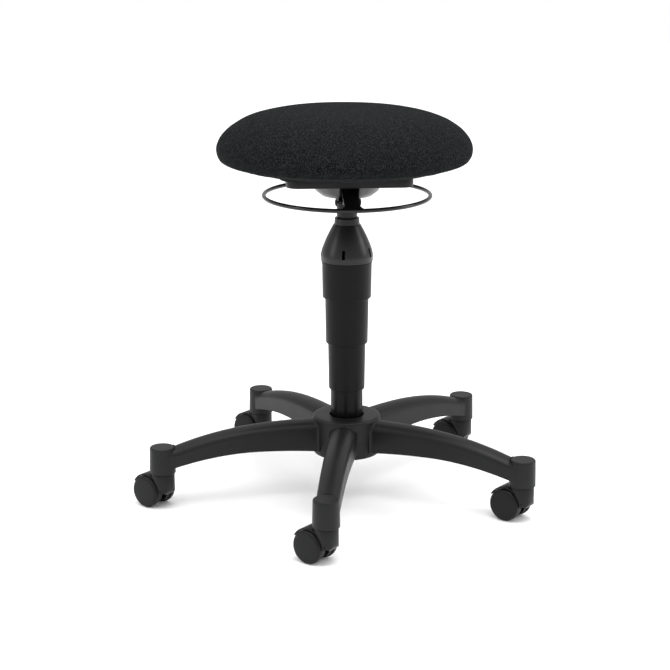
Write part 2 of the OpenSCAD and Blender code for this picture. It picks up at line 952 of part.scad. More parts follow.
module lever_yoke() {
    half = strap_w / 2;
    cheek_half = cheek_in + cheek_t;
    end_top = ring_z + sheet_t / 2;
    end_low = ring_z - sheet_t / 2;
    flare = half + strap_flare;
    top = tongue_z + sheet_t;
    color("#1a1b1c")
        difference() {
            union() {
                intersection() {
                    across(3 * strap_w)
                        polygon([
                            [strap_bend_y, tongue_z],
                            [strap_end_y - 8, end_low],
                            [strap_end_y, end_low],
                            [strap_end_y, end_top],
                            [strap_end_y - 8, end_top],
                            [strap_bend_y, top],
                            [-strap_bend_y, top],
                            [-strap_end_y + 8, end_top],
                            [-strap_end_y, end_top],
                            [-strap_end_y, end_low],
                            [-strap_end_y + 8, end_low],
                            [-strap_bend_y, tongue_z]
                        ]);
                    translate([0, 0, ring_z - strap_w])
                        linear_extrude(height = 3 * strap_w)
                            polygon([
                                [flare, -ring_r], [flare, -ring_r + 6], [half, -ring_r + 18],
                                [half, cheek_front - 5], [cheek_half, cheek_front],
                                [cheek_half, cheek_back], [tongue_half, cheek_back + 3],
                                [tongue_half, bracket_y - 6], [rear_w / 2, bracket_y],
                                [rear_w / 2, ring_r - 18], [half, ring_r - 6], [half, ring_r],
                                [-half, ring_r], [-half, ring_r - 6], [-rear_w / 2, ring_r - 18],
                                [-rear_w / 2, bracket_y], [-tongue_half, bracket_y - 6],
                                [-tongue_half, cheek_back + 3], [-cheek_half, cheek_back],
                                [-cheek_half, cheek_front], [-half, cheek_front - 5],
                                [-half, -ring_r + 18], [-flare, -ring_r + 6], [-flare, -ring_r]
                            ]);
                }
                for (side = [-1, 1])
                    translate([side * (cheek_in + cheek_t / 2), 0, 0])
                        across(cheek_t)
                            union() {
                                translate([pivot_y, pivot_z])
                                    circle(r = cheek_r);
                                translate([pivot_y - cheek_r, pivot_z])
                                    square([2 * cheek_r, tongue_z + eps - pivot_z]);
                            }
            }
            pivot_bore(pin_r + run_gap, 3 * cheek_half);
            translate([0, 0, ring_z])
                rotate_extrude()
                    translate([ring_r, 0])
                        circle(r = ring_rod_r + press_gap);
        }
}

module ring_handle() {
    color("#0e0f10")
        translate([0, 0, ring_z])
            rotate_extrude()
                translate([ring_r, 0])
                    circle(r = ring_rod_r);
}

module pivot_pin() {
    color("#b4b6b8")
        pivot_bore(pin_r - press_gap, 2 * pin_half);
}

module pin_clips() {
    color("#8a8d90")
        for (side = [-1, 1])
            translate([side * (clip_in + 0.4), pivot_y, pivot_z])
                rotate([0, 90, 0])
                    difference() {
                        cylinder(h = 0.8, r = pin_r + 2, center = true);
                        cylinder(h = 2, r = pin_r, center = true);
                    }
}

module return_spring() {
    color("#d0d2d4") {
        translate([0, pivot_y, pivot_z])
            rotate([0, 90, 0])
                rotate_extrude() {
                    for (i = [-spring_turns:spring_turns])
                        translate([spring_r, i * spring_half / spring_turns])
                            circle(r = spring_wire);
                    translate([spring_r - spring_wire / 2, -spring_half])
                        square([spring_wire, 2 * spring_half]);
                }
        translate([spring_half, pivot_y, pivot_z + spring_r])
            rotate([spring_lean, 0, 0])
                cylinder(h = spring_leg, r = spring_wire);
    }
}

module seat_pan() {
    color("#c8a878")
        difference() {
            union() {
                translate([0, 0, plate_top])
                    cylinder(h = boss_pan_h + eps, r = boss_pan_r);
                translate([cushion_x, cushion_y, board_z])
                    cylinder(h = board_t, r = board_r);
            }
            at_screws() {
                translate([0, 0, plate_top - eps])
                    cylinder(h = board_top, r = screw_r + 2 * press_gap);
                translate([0, 0, board_top - nut_h])
                    cylinder(h = nut_h + eps, r = nut_r + press_gap);
                translate([0, 0, board_top - nut_flange_t])
                    cylinder(h = nut_flange_t + eps, r = nut_flange_r + press_gap);
            }
        }
}

module seat_cushion() {
    crown = seat_top - seat_wide_z;
    drop = seat_wide_z - rim_z;
    color("#1c1e1f")
        difference() {
            translate([cushion_x, cushion_y, 0])
                rotate_extrude()
                    polygon(concat(
                        [[0, plate_top], [belly_r, plate_top]],
                        [[belly_top_r, plate_top + belly_rise]],
                        [for (i = [0:4]) let (a = 90 * i / 4)
                            [seat_r - rim_in + rim_in * sin(a), seat_wide_z - drop * cos(a)]],
                        [for (i = [1:crown_steps]) let (a = 90 * i / crown_steps)
                            [seat_r * pow(cos(a), 2 / crown_side),
                                seat_wide_z + crown * pow(sin(a), 2 / crown_top)]]
                    ));
            translate([0, 0, plate_top - eps])
                cylinder(h = boss_pan_h + 2 * eps, r = boss_pan_r + pan_gap);
            translate([cushion_x, cushion_y, board_z - pan_gap])
                cylinder(h = board_t + pan_gap, r = board_r + pan_gap);
        }
}

base_star();
hub_sleeve();
stem_sleeves();
grip_rings();
outer_tube();
guide_bush();
bearing_race();
ball_cage();
bottom_washer();
piston_rod();
upper_race();
retaining_clip();
rubber_buffer();
piston();
gas_cylinder();
rod_seal();
valve_pin();
cone_cover();
shroud_upper();
shroud_middle();
shroud_lower();
taper_socket();
bowl();
mount_plate();
plate_screws();
tee_nuts();
at_seat() lever_yoke();
ring_handle();
at_seat() pivot_pin();
at_seat() pin_clips();
at_seat() return_spring();
seat_pan();
seat_cushion();
for (i = [1:arm_count]) {
    castor_stem(i);
    castor_body(i);
    axle(i);
    wheel_left(i);
    wheel_right(i);
}
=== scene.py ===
# Adjustable swivel stool. Sizes in the dictionaries are in millimetres, angles in degrees.
import math

import bmesh
import bpy
from mathutils import Matrix, Vector, noise


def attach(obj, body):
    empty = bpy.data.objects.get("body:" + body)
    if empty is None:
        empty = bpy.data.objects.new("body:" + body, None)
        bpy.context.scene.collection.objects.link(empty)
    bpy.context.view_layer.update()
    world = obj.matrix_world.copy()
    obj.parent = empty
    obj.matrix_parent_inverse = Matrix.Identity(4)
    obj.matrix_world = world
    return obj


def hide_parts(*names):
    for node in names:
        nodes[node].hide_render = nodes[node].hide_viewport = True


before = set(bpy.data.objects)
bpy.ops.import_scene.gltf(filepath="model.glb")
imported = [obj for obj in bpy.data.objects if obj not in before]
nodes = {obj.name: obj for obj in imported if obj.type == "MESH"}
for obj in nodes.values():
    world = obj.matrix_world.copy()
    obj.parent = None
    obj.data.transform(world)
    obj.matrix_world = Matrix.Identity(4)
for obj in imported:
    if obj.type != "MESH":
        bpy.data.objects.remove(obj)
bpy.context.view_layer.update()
mm = 0.001
armTurns = [-90 + 72 * i for i in range(5)]
print("frame loaded:", len(nodes), "nodes")


class Wire:  # one socket, usable in sums
    def __init__(self, graph, socket):
        self.graph = graph
        self.socket = socket

    def maths(self, operation, *parts):
        return self.graph.node("ShaderNodeMath", {"operation": operation}, dict(enumerate(parts)))

    def also(self, name):  # another output of the same node
        return Wire(self.graph, self.socket.node.outputs[name])

    def __add__(self, other):
        return self.maths("ADD", self, other)

    def __sub__(self, other):
        return self.maths("SUBTRACT", self, other)

    def __rsub__(self, other):
        return self.maths("SUBTRACT", other, self)

    def __mul__(self, other):
        return self.maths("MULTIPLY", self, other)

    def __truediv__(self, other):
        return self.maths("DIVIDE", self, other)

    def __pow__(self, other):
        return self.maths("POWER", self, other)

    def __gt__(self, other):
        return self.maths("GREATER_THAN", self, other)

    def __lt__(self, other):
        return self.maths("LESS_THAN", self, other)

    __radd__ = __add__
    __rmul__ = __mul__


class Graph:  # a node tree, for a material or for a mesh
    def __init__(self, tree):
        self.tree = tree

    def node(self, kind, settings=None, sockets=None, output=0):
        made = self.tree.nodes.new(kind)
        for name, value in (settings or {}).items():
            if name == "stops":
                for stop, (place, colour) in zip(made.color_ramp.elements, value):
                    stop.position = place
                    stop.color = colour
            else:
                setattr(made, name, value)
        for key, value in (sockets or {}).items():
            if isinstance(value, Wire):
                self.tree.links.new(value.socket, made.inputs[key])
            else:
                made.inputs[key].default_value = value
        return Wire(self, made.outputs[output]) if len(made.outputs) else None


def sine(wire):
    return wire.maths("SINE", wire)


def root(wire):
    return wire.maths("SQRT", wire)


def least(first, second):
    return first.maths("MINIMUM", first, second)


def most(first, second):
    return first.maths("MAXIMUM", first, second)


def within(wire):  # held between 0 and 1
    return least(most(wire, 0.0), 1.0)


def mixColour(graph, share, first, second):
    return graph.node("ShaderNodeMix", {"data_type": "RGBA"}, {0: share, 6: first, 7: second}, output=2)


def grey(value, warm=0.0):
    return (value * (1 + warm), value, value * (1 - warm), 1.0)


def cool(value):
    return (value * 0.87, value, value * 1.04, 1.0)


def startLook(name):
    look = bpy.data.materials.new(name)
    look.use_nodes = True
    look.node_tree.nodes.clear()
    graph = Graph(look.node_tree)
    place = graph.node("ShaderNodeTexCoord", output="Object")
    return look, graph, place


def cloudy(graph, place, size, detail=3.0):  # noise whose blotches are about that size
    return graph.node("ShaderNodeTexNoise", {}, {"Vector": place, "Scale": 1 / (size * mm), "Detail": detail})


def finishLook(graph, sockets, height=None, depth=0.1, strength=0.5):
    if height is not None:
        sockets["Normal"] = graph.node(
            "ShaderNodeBump", {}, {"Height": height, "Distance": depth * mm, "Strength": strength})
    shader = graph.node("ShaderNodeBsdfPrincipled", {}, sockets)
    graph.node("ShaderNodeOutputMaterial", {}, {"Surface": shader})


def plasticLook(name, shade, roughness, grain=0.7, depth=0.06, scuff=0.0, shine=0.3):
    look, graph, place = startLook(name)
    cloud = cloudy(graph, place, 60)
    fine = cloudy(graph, place, grain, 2.0)
    long = graph.node("ShaderNodeMapping", {}, {"Vector": place, "Scale": (1.0, 9.0, 2.0)})
    scratch = within((cloudy(graph, long, 14, 5.0) - 0.62) * 7)
    tint = mixColour(graph, cloud, grey(shade * 0.82, -0.02), grey(shade * 1.2, -0.03))
    worn = mixColour(graph, scratch * scuff, tint, grey(shade * 1.9))
    finishLook(graph, {
        "Base Color": worn,
        "Roughness": roughness + (cloud - 0.5) * 0.12 + (fine - 0.5) * 0.1 + scratch * (scuff * 0.2),
        "Specular IOR Level": shine,
    }, fine + cloud * 0.3, depth)
    return look


def paintLook(name, shade, roughness, peel=2.6, depth=0.05, shine=0.5):
    look, graph, place = startLook(name)
    cloud = cloudy(graph, place, 45)
    skin = cloudy(graph, place, peel, 1.0)
    speck = within((cloudy(graph, place, 0.9, 1.0) - 0.7) * 8)
    tint = mixColour(graph, cloud, grey(shade * 0.85), grey(shade * 1.2))
    finishLook(graph, {
        "Base Color": mixColour(graph, speck * 0.5, tint, grey(shade * 1.6)),
        "Roughness": roughness + (cloud - 0.5) * 0.08 + speck * 0.1,
        "Specular IOR Level": shine,
    }, skin, depth)
    return look


def metalLook(name, shade, roughness, brush=(1.0, 1.0, 14.0), tint=0.0):
    look, graph, place = startLook(name)
    cloud = cloudy(graph, place, 12)
    run = graph.node("ShaderNodeMapping", {}, {"Vector": place, "Scale": brush})
    brushed = cloudy(graph, run, 2.5, 4.0)
    finishLook(graph, {
        "Base Color": mixColour(graph, cloud, grey(shade * 0.85, tint), grey(shade * 1.1, tint)),
        "Metallic": 1.0,
        "Roughness": roughness + (brushed - 0.5) * 0.2 + (cloud - 0.5) * 0.1,
    }, brushed, 0.02)
    return look


def woodLook(name, lining):
    look, graph, place = startLook(name)
    height = graph.node("ShaderNodeSeparateXYZ", {}, {"Vector": place}).also("Z")
    ply = sine(height * (2 * math.pi / (3 * mm))) * 0.5 + 0.5
    run = graph.node("ShaderNodeMapping", {}, {"Vector": place, "Scale": (1.0, 12.0, 1.0)})
    figure = cloudy(graph, run, 22, 5.0)
    pale = mixColour(graph, figure, (0.42, 0.27, 0.14, 1), (0.66, 0.48, 0.29, 1))
    banded = mixColour(graph, ply * 0.6, pale, (0.3, 0.18, 0.09, 1))
    felt = cloudy(graph, place, 0.8, 2.0)
    dark = height < lining * mm
    finishLook(graph, {
        "Base Color": mixColour(graph, dark, banded, mixColour(graph, felt, grey(0.008), grey(0.02))),
        "Roughness": 0.6 + dark * 0.3,
    }, figure + felt * dark, 0.1)
    return look


def clothLook(name, sizes):
    look, graph, place = startLook(name)
    laid = graph.node("ShaderNodeUVMap", {"uv_map": "cloth"})
    split = graph.node("ShaderNodeSeparateXYZ", {}, {"Vector": laid})
    thread = sizes["thread"] * mm
    warp = split.also("X") / thread
    weft = split.also("Y") / thread
    wave = sine(warp * math.pi) * sine(weft * math.pi)  # over and under, thread by thread
    cell = graph.node("ShaderNodeCombineXYZ", {}, {
        "X": warp.maths("FLOOR", warp), "Y": weft.maths("FLOOR", weft)})
    yarn = graph.node("ShaderNodeTexWhiteNoise", {"noise_dimensions": "2D"}, {"Vector": cell})
    fleck = within((yarn - 0.72) * 3.6)
    fuzz = cloudy(graph, place, 0.5, 3.0)
    cloud = cloudy(graph, place, 30, 4.0)
    ground = mixColour(graph, cloud * 0.35 + fuzz * 0.5, cool(sizes["dark"]), cool(sizes["mid"]))
    finishLook(graph, {
        "Base Color": mixColour(graph, fleck * 0.8, ground, cool(sizes["fleck"])),
        "Roughness": 0.86 + fuzz * 0.12,
        "Specular IOR Level": 0.05,
    }, wave * 0.6 + fuzz * 0.4 + cloud * 0.15, 0.3, 0.6)
    return look


finishes = {
    "base": plasticLook("satinBaseNylon", 0.0078, 0.42, scuff=0.3, shine=0.21),
    "castor": plasticLook("castorNylon", 0.0065, 0.4, shine=0.21),
    "wheel": plasticLook("wheelNylon", 0.0068, 0.4, scuff=0.7, shine=0.16),
    "cover": plasticLook("coverPlastic", 0.0042, 0.4, grain=0.9, shine=0.11),
    "cone": plasticLook("conePlastic", 0.006, 0.34, grain=0.9, depth=0.04, shine=0.36),
    "guide": plasticLook("guidePlastic", 0.12, 0.5),
    "rubber": plasticLook("blackRubber", 0.012, 0.8, depth=0.1),
    "tube": paintLook("glossTube", 0.002, 0.3, shine=0.12),
    "ring": paintLook("glossRing", 0.0035, 0.24, peel=1.6, shine=0.4),
    "cylinder": paintLook("cylinderPaint", 0.003, 0.34, shine=0.14),
    "bracket": paintLook("bracketPaint", 0.008, 0.42, peel=1.2, depth=0.08, shine=0.2),
    "bowl": paintLook("greyBowlPaint", 0.035, 0.34, peel=1.8, depth=0.06),
    "steel": metalLook("zincSteel", 0.55, 0.32),
    "spring": metalLook("springWire", 0.22, 0.4),
    "chrome": metalLook("rodChrome", 0.8, 0.12),
    "brass": metalLook("cageBrass", 0.55, 0.3, tint=0.3),
    "board": woodLook("plywoodBoard", 531.4),
    "cloth": clothLook("seatCloth", {"thread": 0.8, "dark": 0.0028, "mid": 0.0065, "fleck": 0.05}),
}
print("finishes made")


def rounded(outline, steps=5):  # corners of (radius, height, fillet) drawn as a smooth outline
    drawn = []
    count = len(outline)
    for i in range(count):
        corner = Vector(outline[i][:2])
        before = Vector(outline[i - 1][:2]) - corner
        after = Vector(outline[(i + 1) % count][:2]) - corner
        size = outline[i][2] if len(outline[i]) > 2 else 0
        if size == 0 or before.length < 1e-6 or after.length < 1e-6:
            drawn.append(corner)
            continue
        start = corner + before.normalized() * min(size, before.length * 0.48)
        end = corner + after.normalized() * min(size, after.length * 0.48)
        for k in range(steps + 1):
            s = k / steps
            drawn.append(start * (1 - s) ** 2 + corner * (2 * s * (1 - s)) + end * s ** 2)
    return drawn


def asObject(name, mesh, look=None):
    piece = bpy.data.objects.new(name, mesh)
    bpy.context.scene.collection.objects.link(piece)
    if look is not None:
        mesh.materials.clear()
        mesh.materials.append(look)
    return piece


def tidyMesh(bm, name, closed=True):
    bmesh.ops.remove_doubles(bm, verts=bm.verts, dist=0.002 * mm)
    bmesh.ops.dissolve_degenerate(bm, edges=bm.edges, dist=0.001 * mm)
    if closed:
        bmesh.ops.recalc_face_normals(bm, faces=bm.faces)
    mesh = bpy.data.meshes.new(name)
    bm.to_mesh(mesh)
    bm.free()
    return mesh


def latheMesh(name, outline, turns=96, steps=5):
    points = rounded(outline, steps)
    bm = bmesh.new()
    rings = []
    for p in points:
        ring = []
        for i in range(turns):
            a = 2 * math.pi * i / turns
            ring.append(bm.verts.new((p.x * math.cos(a) * mm, p.x * math.sin(a) * mm, p.y * mm)))
        rings.append(ring)
    for j in range(len(rings)):
        low, high = rings[j], rings[(j + 1) % len(rings)]
        if points[j].x < 1e-6 and points[(j + 1) % len(rings)].x < 1e-6:
            continue
        for i in range(turns):
            k = (i + 1) % turns
            bm.faces.new((low[i], low[k], high[k], high[i]))
    return tidyMesh(bm, name)


def smooth(mesh, angle=32):
    mesh.shade_smooth()
    mesh.set_sharp_from_angle(angle=math.radians(angle))


def place(piece, body, slot, *replaced, angle=32):
    smooth(piece.data, angle)
    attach(piece, body)
    if replaced:
        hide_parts(*replaced)
    return piece


def plain(piece):  # the finished mesh with its modifiers worked in
    mesh = bpy.data.meshes.new_from_object(piece.evaluated_get(bpy.context.evaluated_depsgraph_get()))
    piece.modifiers.clear()
    piece.data = mesh
    return piece


def joined(name, meshes, look):
    bm = bmesh.new()
    for mesh in meshes:
        bm.from_mesh(mesh)
    mesh = bpy.data.meshes.new(name)
    bm.to_mesh(mesh)
    bm.free()
    return asObject(name, mesh, look)


def softened(node, name, look, edge, angle=30, segments=2):  # a CAD shape with its edges broken
    bm = bmesh.new()
    bm.from_mesh(nodes[node].data)
    bmesh.ops.remove_doubles(bm, verts=bm.verts, dist=0.005 * mm)
    bmesh.ops.dissolve_limit(
        bm, angle_limit=math.radians(0.6), verts=bm.verts, edges=bm.edges, use_dissolve_boundaries=False)
    mesh = bpy.data.meshes.new(name)
    bm.to_mesh(mesh)
    bm.free()
    piece = asObject(name, mesh, look)
    bevel = piece.modifiers.new("edges", "BEVEL")
    bevel.width = edge * mm
    bevel.segments = segments
    bevel.limit_method = "ANGLE"
    bevel.angle_limit = math.radians(angle)
    bevel.use_clamp_overlap = True
    plain(piece)
    bm = bmesh.new()
    bm.from_mesh(piece.data)
    bmesh.ops.remove_doubles(bm, verts=bm.verts, dist=0.002 * mm)
    bmesh.ops.dissolve_degenerate(bm, edges=bm.edges, dist=0.002 * mm)
    alike = {}
    for face in bm.faces:
        alike.setdefault(frozenset(v.index for v in face.verts), []).append(face)
    doubled = [face for group in alike.values() if len(group) > 1 for face in group]
    bmesh.ops.delete(bm, geom=doubled, context="FACES")
    bm.to_mesh(piece.data)
    bm.free()
    return piece


def grow(name, build, sizes, look, pieces=None):  # runs a tree of mesh nodes once and keeps the plain mesh
    tree = bpy.data.node_groups.new(name, "GeometryNodeTree")
    tree.interface.new_socket("Geometry", in_out="OUTPUT", socket_type="NodeSocketGeometry")
    values = dict(sizes)
    for label in sizes:
        tree.interface.new_socket(label, in_out="INPUT", socket_type="NodeSocketFloat")
    for label, piece in (pieces or {}).items():
        tree.interface.new_socket(label, in_out="INPUT", socket_type="NodeSocketObject")
        values[label] = piece
    graph = Graph(tree)
    entry = tree.nodes.new("NodeGroupInput")
    wires = {label: Wire(graph, entry.outputs[label]) for label in values}
    made = graph.node("GeometryNodeRealizeInstances", {}, {"Geometry": build(graph, wires)})
    scaled = graph.node("GeometryNodeTransform", {}, {"Geometry": made, "Scale": (mm, mm, mm)})
    dressed = graph.node("GeometryNodeSetMaterial", {}, {"Geometry": scaled, "Material": look})
    leave = tree.nodes.new("NodeGroupOutput")
    tree.links.new(dressed.socket, leave.inputs[0])
    holder = asObject(name, bpy.data.meshes.new(name))
    modifier = holder.modifiers.new("grow", "NODES")
    modifier.node_group = tree
    for item in tree.interface.items_tree:
        if item.in_out == "INPUT":
            modifier[item.identifier] = values[item.name]
    plain(holder)
    bm = bmesh.new()
    bm.from_mesh(holder.data)
    bmesh.ops.remove_doubles(bm, verts=bm.verts, dist=0.002 * mm)
    bmesh.ops.recalc_face_normals(bm, faces=bm.faces)
    bm.to_mesh(holder.data)
    bm.free()
    if look.name not in [m.name for m in holder.data.materials if m]:
        holder.data.materials.clear()
        holder.data.materials.append(look)
    return holder


def around(graph, shape, count, radius, turn):  # copies of a shape on a circle, each turned outwards
    ring = graph.node("GeometryNodeMeshCircle", {}, {"Vertices": count, "Radius": 1e-4})
    order = graph.node("GeometryNodeInputIndex")
    angle = (order * (360 / count) + turn) * (math.pi / 180)
    spin = graph.node("ShaderNodeCombineXYZ", {}, {"Z": angle})
    spot = graph.node("ShaderNodeCombineXYZ", {}, {
        "X": angle.maths("COSINE", angle) * radius, "Y": sine(angle) * radius})
    placed = graph.node("GeometryNodeSetPosition", {}, {"Geometry": ring, "Position": spot})
    facing = graph.node("FunctionNodeEulerToRotation", {}, {"Euler": spin})
    return graph.node("GeometryNodeInstanceOnPoints", {}, {
        "Points": placed, "Instance": shape, "Rotation": facing})


# base: five hollow arms that grow out of the hub and run into the castor barrels
star = {
    "Hub Radius": 53.5, "Reach": 292.5, "Barrel Radius": 19.8,
    "Root Top": 128.0, "Tip Top": 97.0, "Root Half": 20.0, "Tip Half": 17.2,
    "Wall": 3.5, "Arch Radius": 150.0, "Arch Top": 85.0, "Arch Root Drop": 5.0, "Arch Tip Drop": 17.4,
    "Hub Fillet": 3.0, "Top Fillet": 2.4, "Tip Fillet": 1.8, "Rib": 3.0, "Rib Step": 48.0, "First Rib": 56.0,
}
armGrid = {
    "columns": 46, "across": 31, "side": 0.2, "crown": 0.7, "ridgePower": 2.5, "tipPower": 1.9,
    "ease": 0.93, "overlap": 1.5,
}
hub = {
    "top": 133.0, "bottom": 72.0, "wall": 4.0, "round": 3.5, "foot": 27.0, "footDepth": 12.0,
    "pocket": 29.05, "pocketEnd": 76.0, "boss": 33.0, "draft": 1.5,
}
web = {"count": 10, "length": 17.5, "thick": 3.0, "height": 55.0, "radius": 41.2, "middle": 103.5}
barrel = {
    "low": 20.3, "high": 19.4, "bottom": 56.2, "top": 97.9, "bore": 7.52, "boreTop": 90.2,
    "round": 2.2, "flat": 5.0,
}


def armHeights(size, x):  # share of the way out, ridge and lower edge of an arm at a distance from the axis
    tip = size["Reach"] - size["Barrel Radius"]
    share = within((x - size["Hub Radius"]) / (tip - size["Hub Radius"]))
    ridge = size["Root Top"] - (size["Root Top"] - size["Tip Top"]) * share ** armGrid["ridgePower"]
    inner = most((size["Arch Radius"] - x) / (size["Arch Radius"] - size["Hub Radius"]), 0.0)
    outer = most((x - size["Arch Radius"]) / (tip - size["Arch Radius"]), 0.0)
    rootDrop = size["Arch Root Drop"] * inner * inner
    tipDrop = size["Arch Tip Drop"] * outer ** armGrid["tipPower"]
    under = size["Arch Top"] - rootDrop - tipDrop
    return share, ridge, under


def flare(distance, radius):  # how far a fillet stands out at a distance from the wall it runs into
    gap = radius - least(distance, radius)
    return radius - root(most(radius * radius - gap * gap, 0.0))


def armTree(graph, size):
    columns, across = armGrid["columns"], armGrid["across"]
    sheet = graph.node("GeometryNodeMeshGrid", {}, {
        "Size X": 1.0, "Size Y": 1.0, "Vertices X": columns, "Vertices Y": 2 * across + 1})
    spot = graph.node("ShaderNodeSeparateXYZ", {}, {"Vector": graph.node("GeometryNodeInputPosition")})
    column = (spot.also("X") + 0.5) * (columns - 1)
    step = (spot.also("Y") + 0.5) * (2 * across)
    column = column.maths("ROUND", column)
    step = step.maths("MODULO", step.maths("ROUND", step), 2 * across)
    inside = step > across - 0.5
    run = step * (1 / (across - 1)) * (1 - inside) + (2 * across - 1 - step) * (1 / (across - 1)) * inside
    first = column < 0.5
    last = column > columns - 1.5
    along = within((column - 1) / (columns - 3))
    along = along - sine(along * (2 * math.pi)) * (armGrid["ease"] / (2 * math.pi))
    length = size["Reach"] - size["Barrel Radius"] - size["Hub Radius"]
    inset = size["Wall"] * inside * (1 - first - last) + size["Wall"] * 0.5 * (first + last)
    turn = within((run - armGrid["side"]) / (1 - 2 * armGrid["side"])) * math.pi
    half = size["Root Half"] + (size["Tip Half"] - size["Root Half"]) * along - inset
    outside = (1 - inside) * (1 - first - last)  # the ends close on the middle of the wall
    side = flare(along * length, size["Hub Fillet"]) + flare((1 - along) * length, size["Tip Fillet"])
    lift = flare(along * length, size["Top Fillet"]) + flare((1 - along) * length, size["Tip Fillet"])
    y = turn.maths("COSINE", turn) * (half + side * outside) * -1
    fromHub = root(size["Hub Radius"] * size["Hub Radius"] - y * y)
    toBarrel = size["Reach"] - root(most(size["Barrel Radius"] * size["Barrel Radius"] - y * y, 1.0))
    x = fromHub + (toBarrel - fromHub) * along + (last - first) * armGrid["overlap"]
    ridge, under = armHeights(size, x)[1:]
    rise = half * armGrid["crown"]
    top = ridge - inset - rise + (rise + lift * outside) * sine(turn)
    climb = within(least(run, 1 - run) / armGrid["side"])
    z = under + (top - under) * climb
    shell = graph.node("GeometryNodeSetPosition", {}, {
        "Geometry": sheet, "Position": graph.node("ShaderNodeCombineXYZ", {}, {"X": x, "Y": y, "Z": z})})

    # cross ribs: blocks set out 1000 mm apart, then brought to their places and cut to the arm's inside
    ribs = graph.node("GeometryNodeMeshLine", {"mode": "OFFSET"}, {"Count": 5, "Offset": (1000, 0, 0)})
    block = graph.node("GeometryNodeMeshCube", {}, {
        "Size": (1, 1, 1), "Vertices X": 2, "Vertices Y": 15, "Vertices Z": 2})
    blocks = graph.node("GeometryNodeRealizeInstances", {}, {
        "Geometry": graph.node("GeometryNodeInstanceOnPoints", {}, {"Points": ribs, "Instance": block})})
    spot = graph.node("ShaderNodeSeparateXYZ", {}, {"Vector": graph.node("GeometryNodeInputPosition")})
    number = spot.also("X").maths("ROUND", spot.also("X") / 1000)
    local = spot.also("X") - number * 1000
    outer = local > 0
    x = size["First Rib"] + size["Rib Step"] * number + local * size["Rib"]
    x = x + (number > 3.5) * (outer * 26 - 2) - (number < 0.5) * (1 - outer) * 3
    share, ridge, under = armHeights(size, x)
    half = size["Root Half"] + (size["Tip Half"] - size["Root Half"]) * share - size["Wall"] + 0.3
    y = spot.also("Y") * 2 * half
    rise = half * armGrid["crown"]
    bow = root(most(1 - spot.also("Y") * spot.also("Y") * 4, 0.0))
    roof = ridge - size["Wall"] + 0.3 - rise + rise * bow
    z = under + 0.5 + (roof - under - 0.5) * (spot.also("Z") + 0.5)
    cut = graph.node("GeometryNodeSetPosition", {}, {
        "Geometry": blocks, "Position": graph.node("ShaderNodeCombineXYZ", {}, {"X": x, "Y": y, "Z": z})})
    arm = graph.node("GeometryNodeJoinGeometry", {}, {"Geometry": shell})
    graph.tree.links.new(cut.socket, arm.socket.node.inputs[0])
    return around(graph, arm, len(armTurns), 0.0, armTurns[0])


def webTree(graph, size):
    block = graph.node("GeometryNodeMeshCube", {}, {"Size": (web["length"], web["thick"], web["height"])})
    moved = graph.node("GeometryNodeTransform", {}, {
        "Geometry": block, "Translation": (web["radius"], 0, web["middle"])})
    return around(graph, moved, web["count"], 0.0, armTurns[0])


def repeated(name, mesh, count, radius, turn, look):
    source = asObject(name + "Source", mesh)

    def tree(graph, size):
        piece = graph.node("GeometryNodeObjectInfo", {}, {"Object": size["Piece"]}, output="Geometry")
        large = graph.node("GeometryNodeTransform", {}, {"Geometry": piece, "Scale": (1000, 1000, 1000)})
        return around(graph, large, count, size["Radius"], size["Turn"])

    made = grow(name, tree, {"Radius": radius, "Turn": turn}, look, {"Piece": source})
    bpy.data.objects.remove(source)
    return made


arms = grow("armShells", armTree, star, finishes["base"])
webs = grow("hubWebs", webTree, {}, finishes["base"])
hubIn = star["Hub Radius"] - hub["wall"]
hubMesh = latheMesh("hubShell", [
    (hub["foot"], hub["top"], 0.8), (hub["foot"], hub["top"] - hub["footDepth"], 0.4),
    (hub["pocket"], hub["top"] - hub["footDepth"], 0), (hub["pocket"], hub["pocketEnd"], 0.3),
    (hub["boss"], hub["pocketEnd"], 0.6), (hub["boss"], hub["top"] - hub["wall"], 1.5),
    (hubIn, hub["top"] - hub["wall"], 1.5), (hubIn - hub["draft"], hub["bottom"], 0.5),
    (star["Hub Radius"] - hub["draft"], hub["bottom"], 1.2),
    (star["Hub Radius"], hub["top"], hub["round"] * 1.6),
], turns=128)
barrelMesh = latheMesh("barrel", [
    (0, barrel["boreTop"]), (barrel["bore"], barrel["boreTop"], 0.3), (barrel["bore"], barrel["bottom"], 0.3),
    (barrel["low"], barrel["bottom"], 1.0), (barrel["high"], barrel["top"], barrel["round"] * 1.5),
    (barrel["high"] - barrel["flat"], barrel["top"], 0), (0, barrel["top"]),
], turns=72)
barrels = repeated("barrels", barrelMesh, len(armTurns), star["Reach"], armTurns[0], finishes["base"])
baseStar = joined("baseStar", [arms.data, webs.data, hubMesh, barrels.data], finishes["base"])
for spare in (arms, webs, barrels):
    bpy.data.objects.remove(spare)
place(baseStar, "base", "base_nylon", "base_star", angle=38)
print("base made")

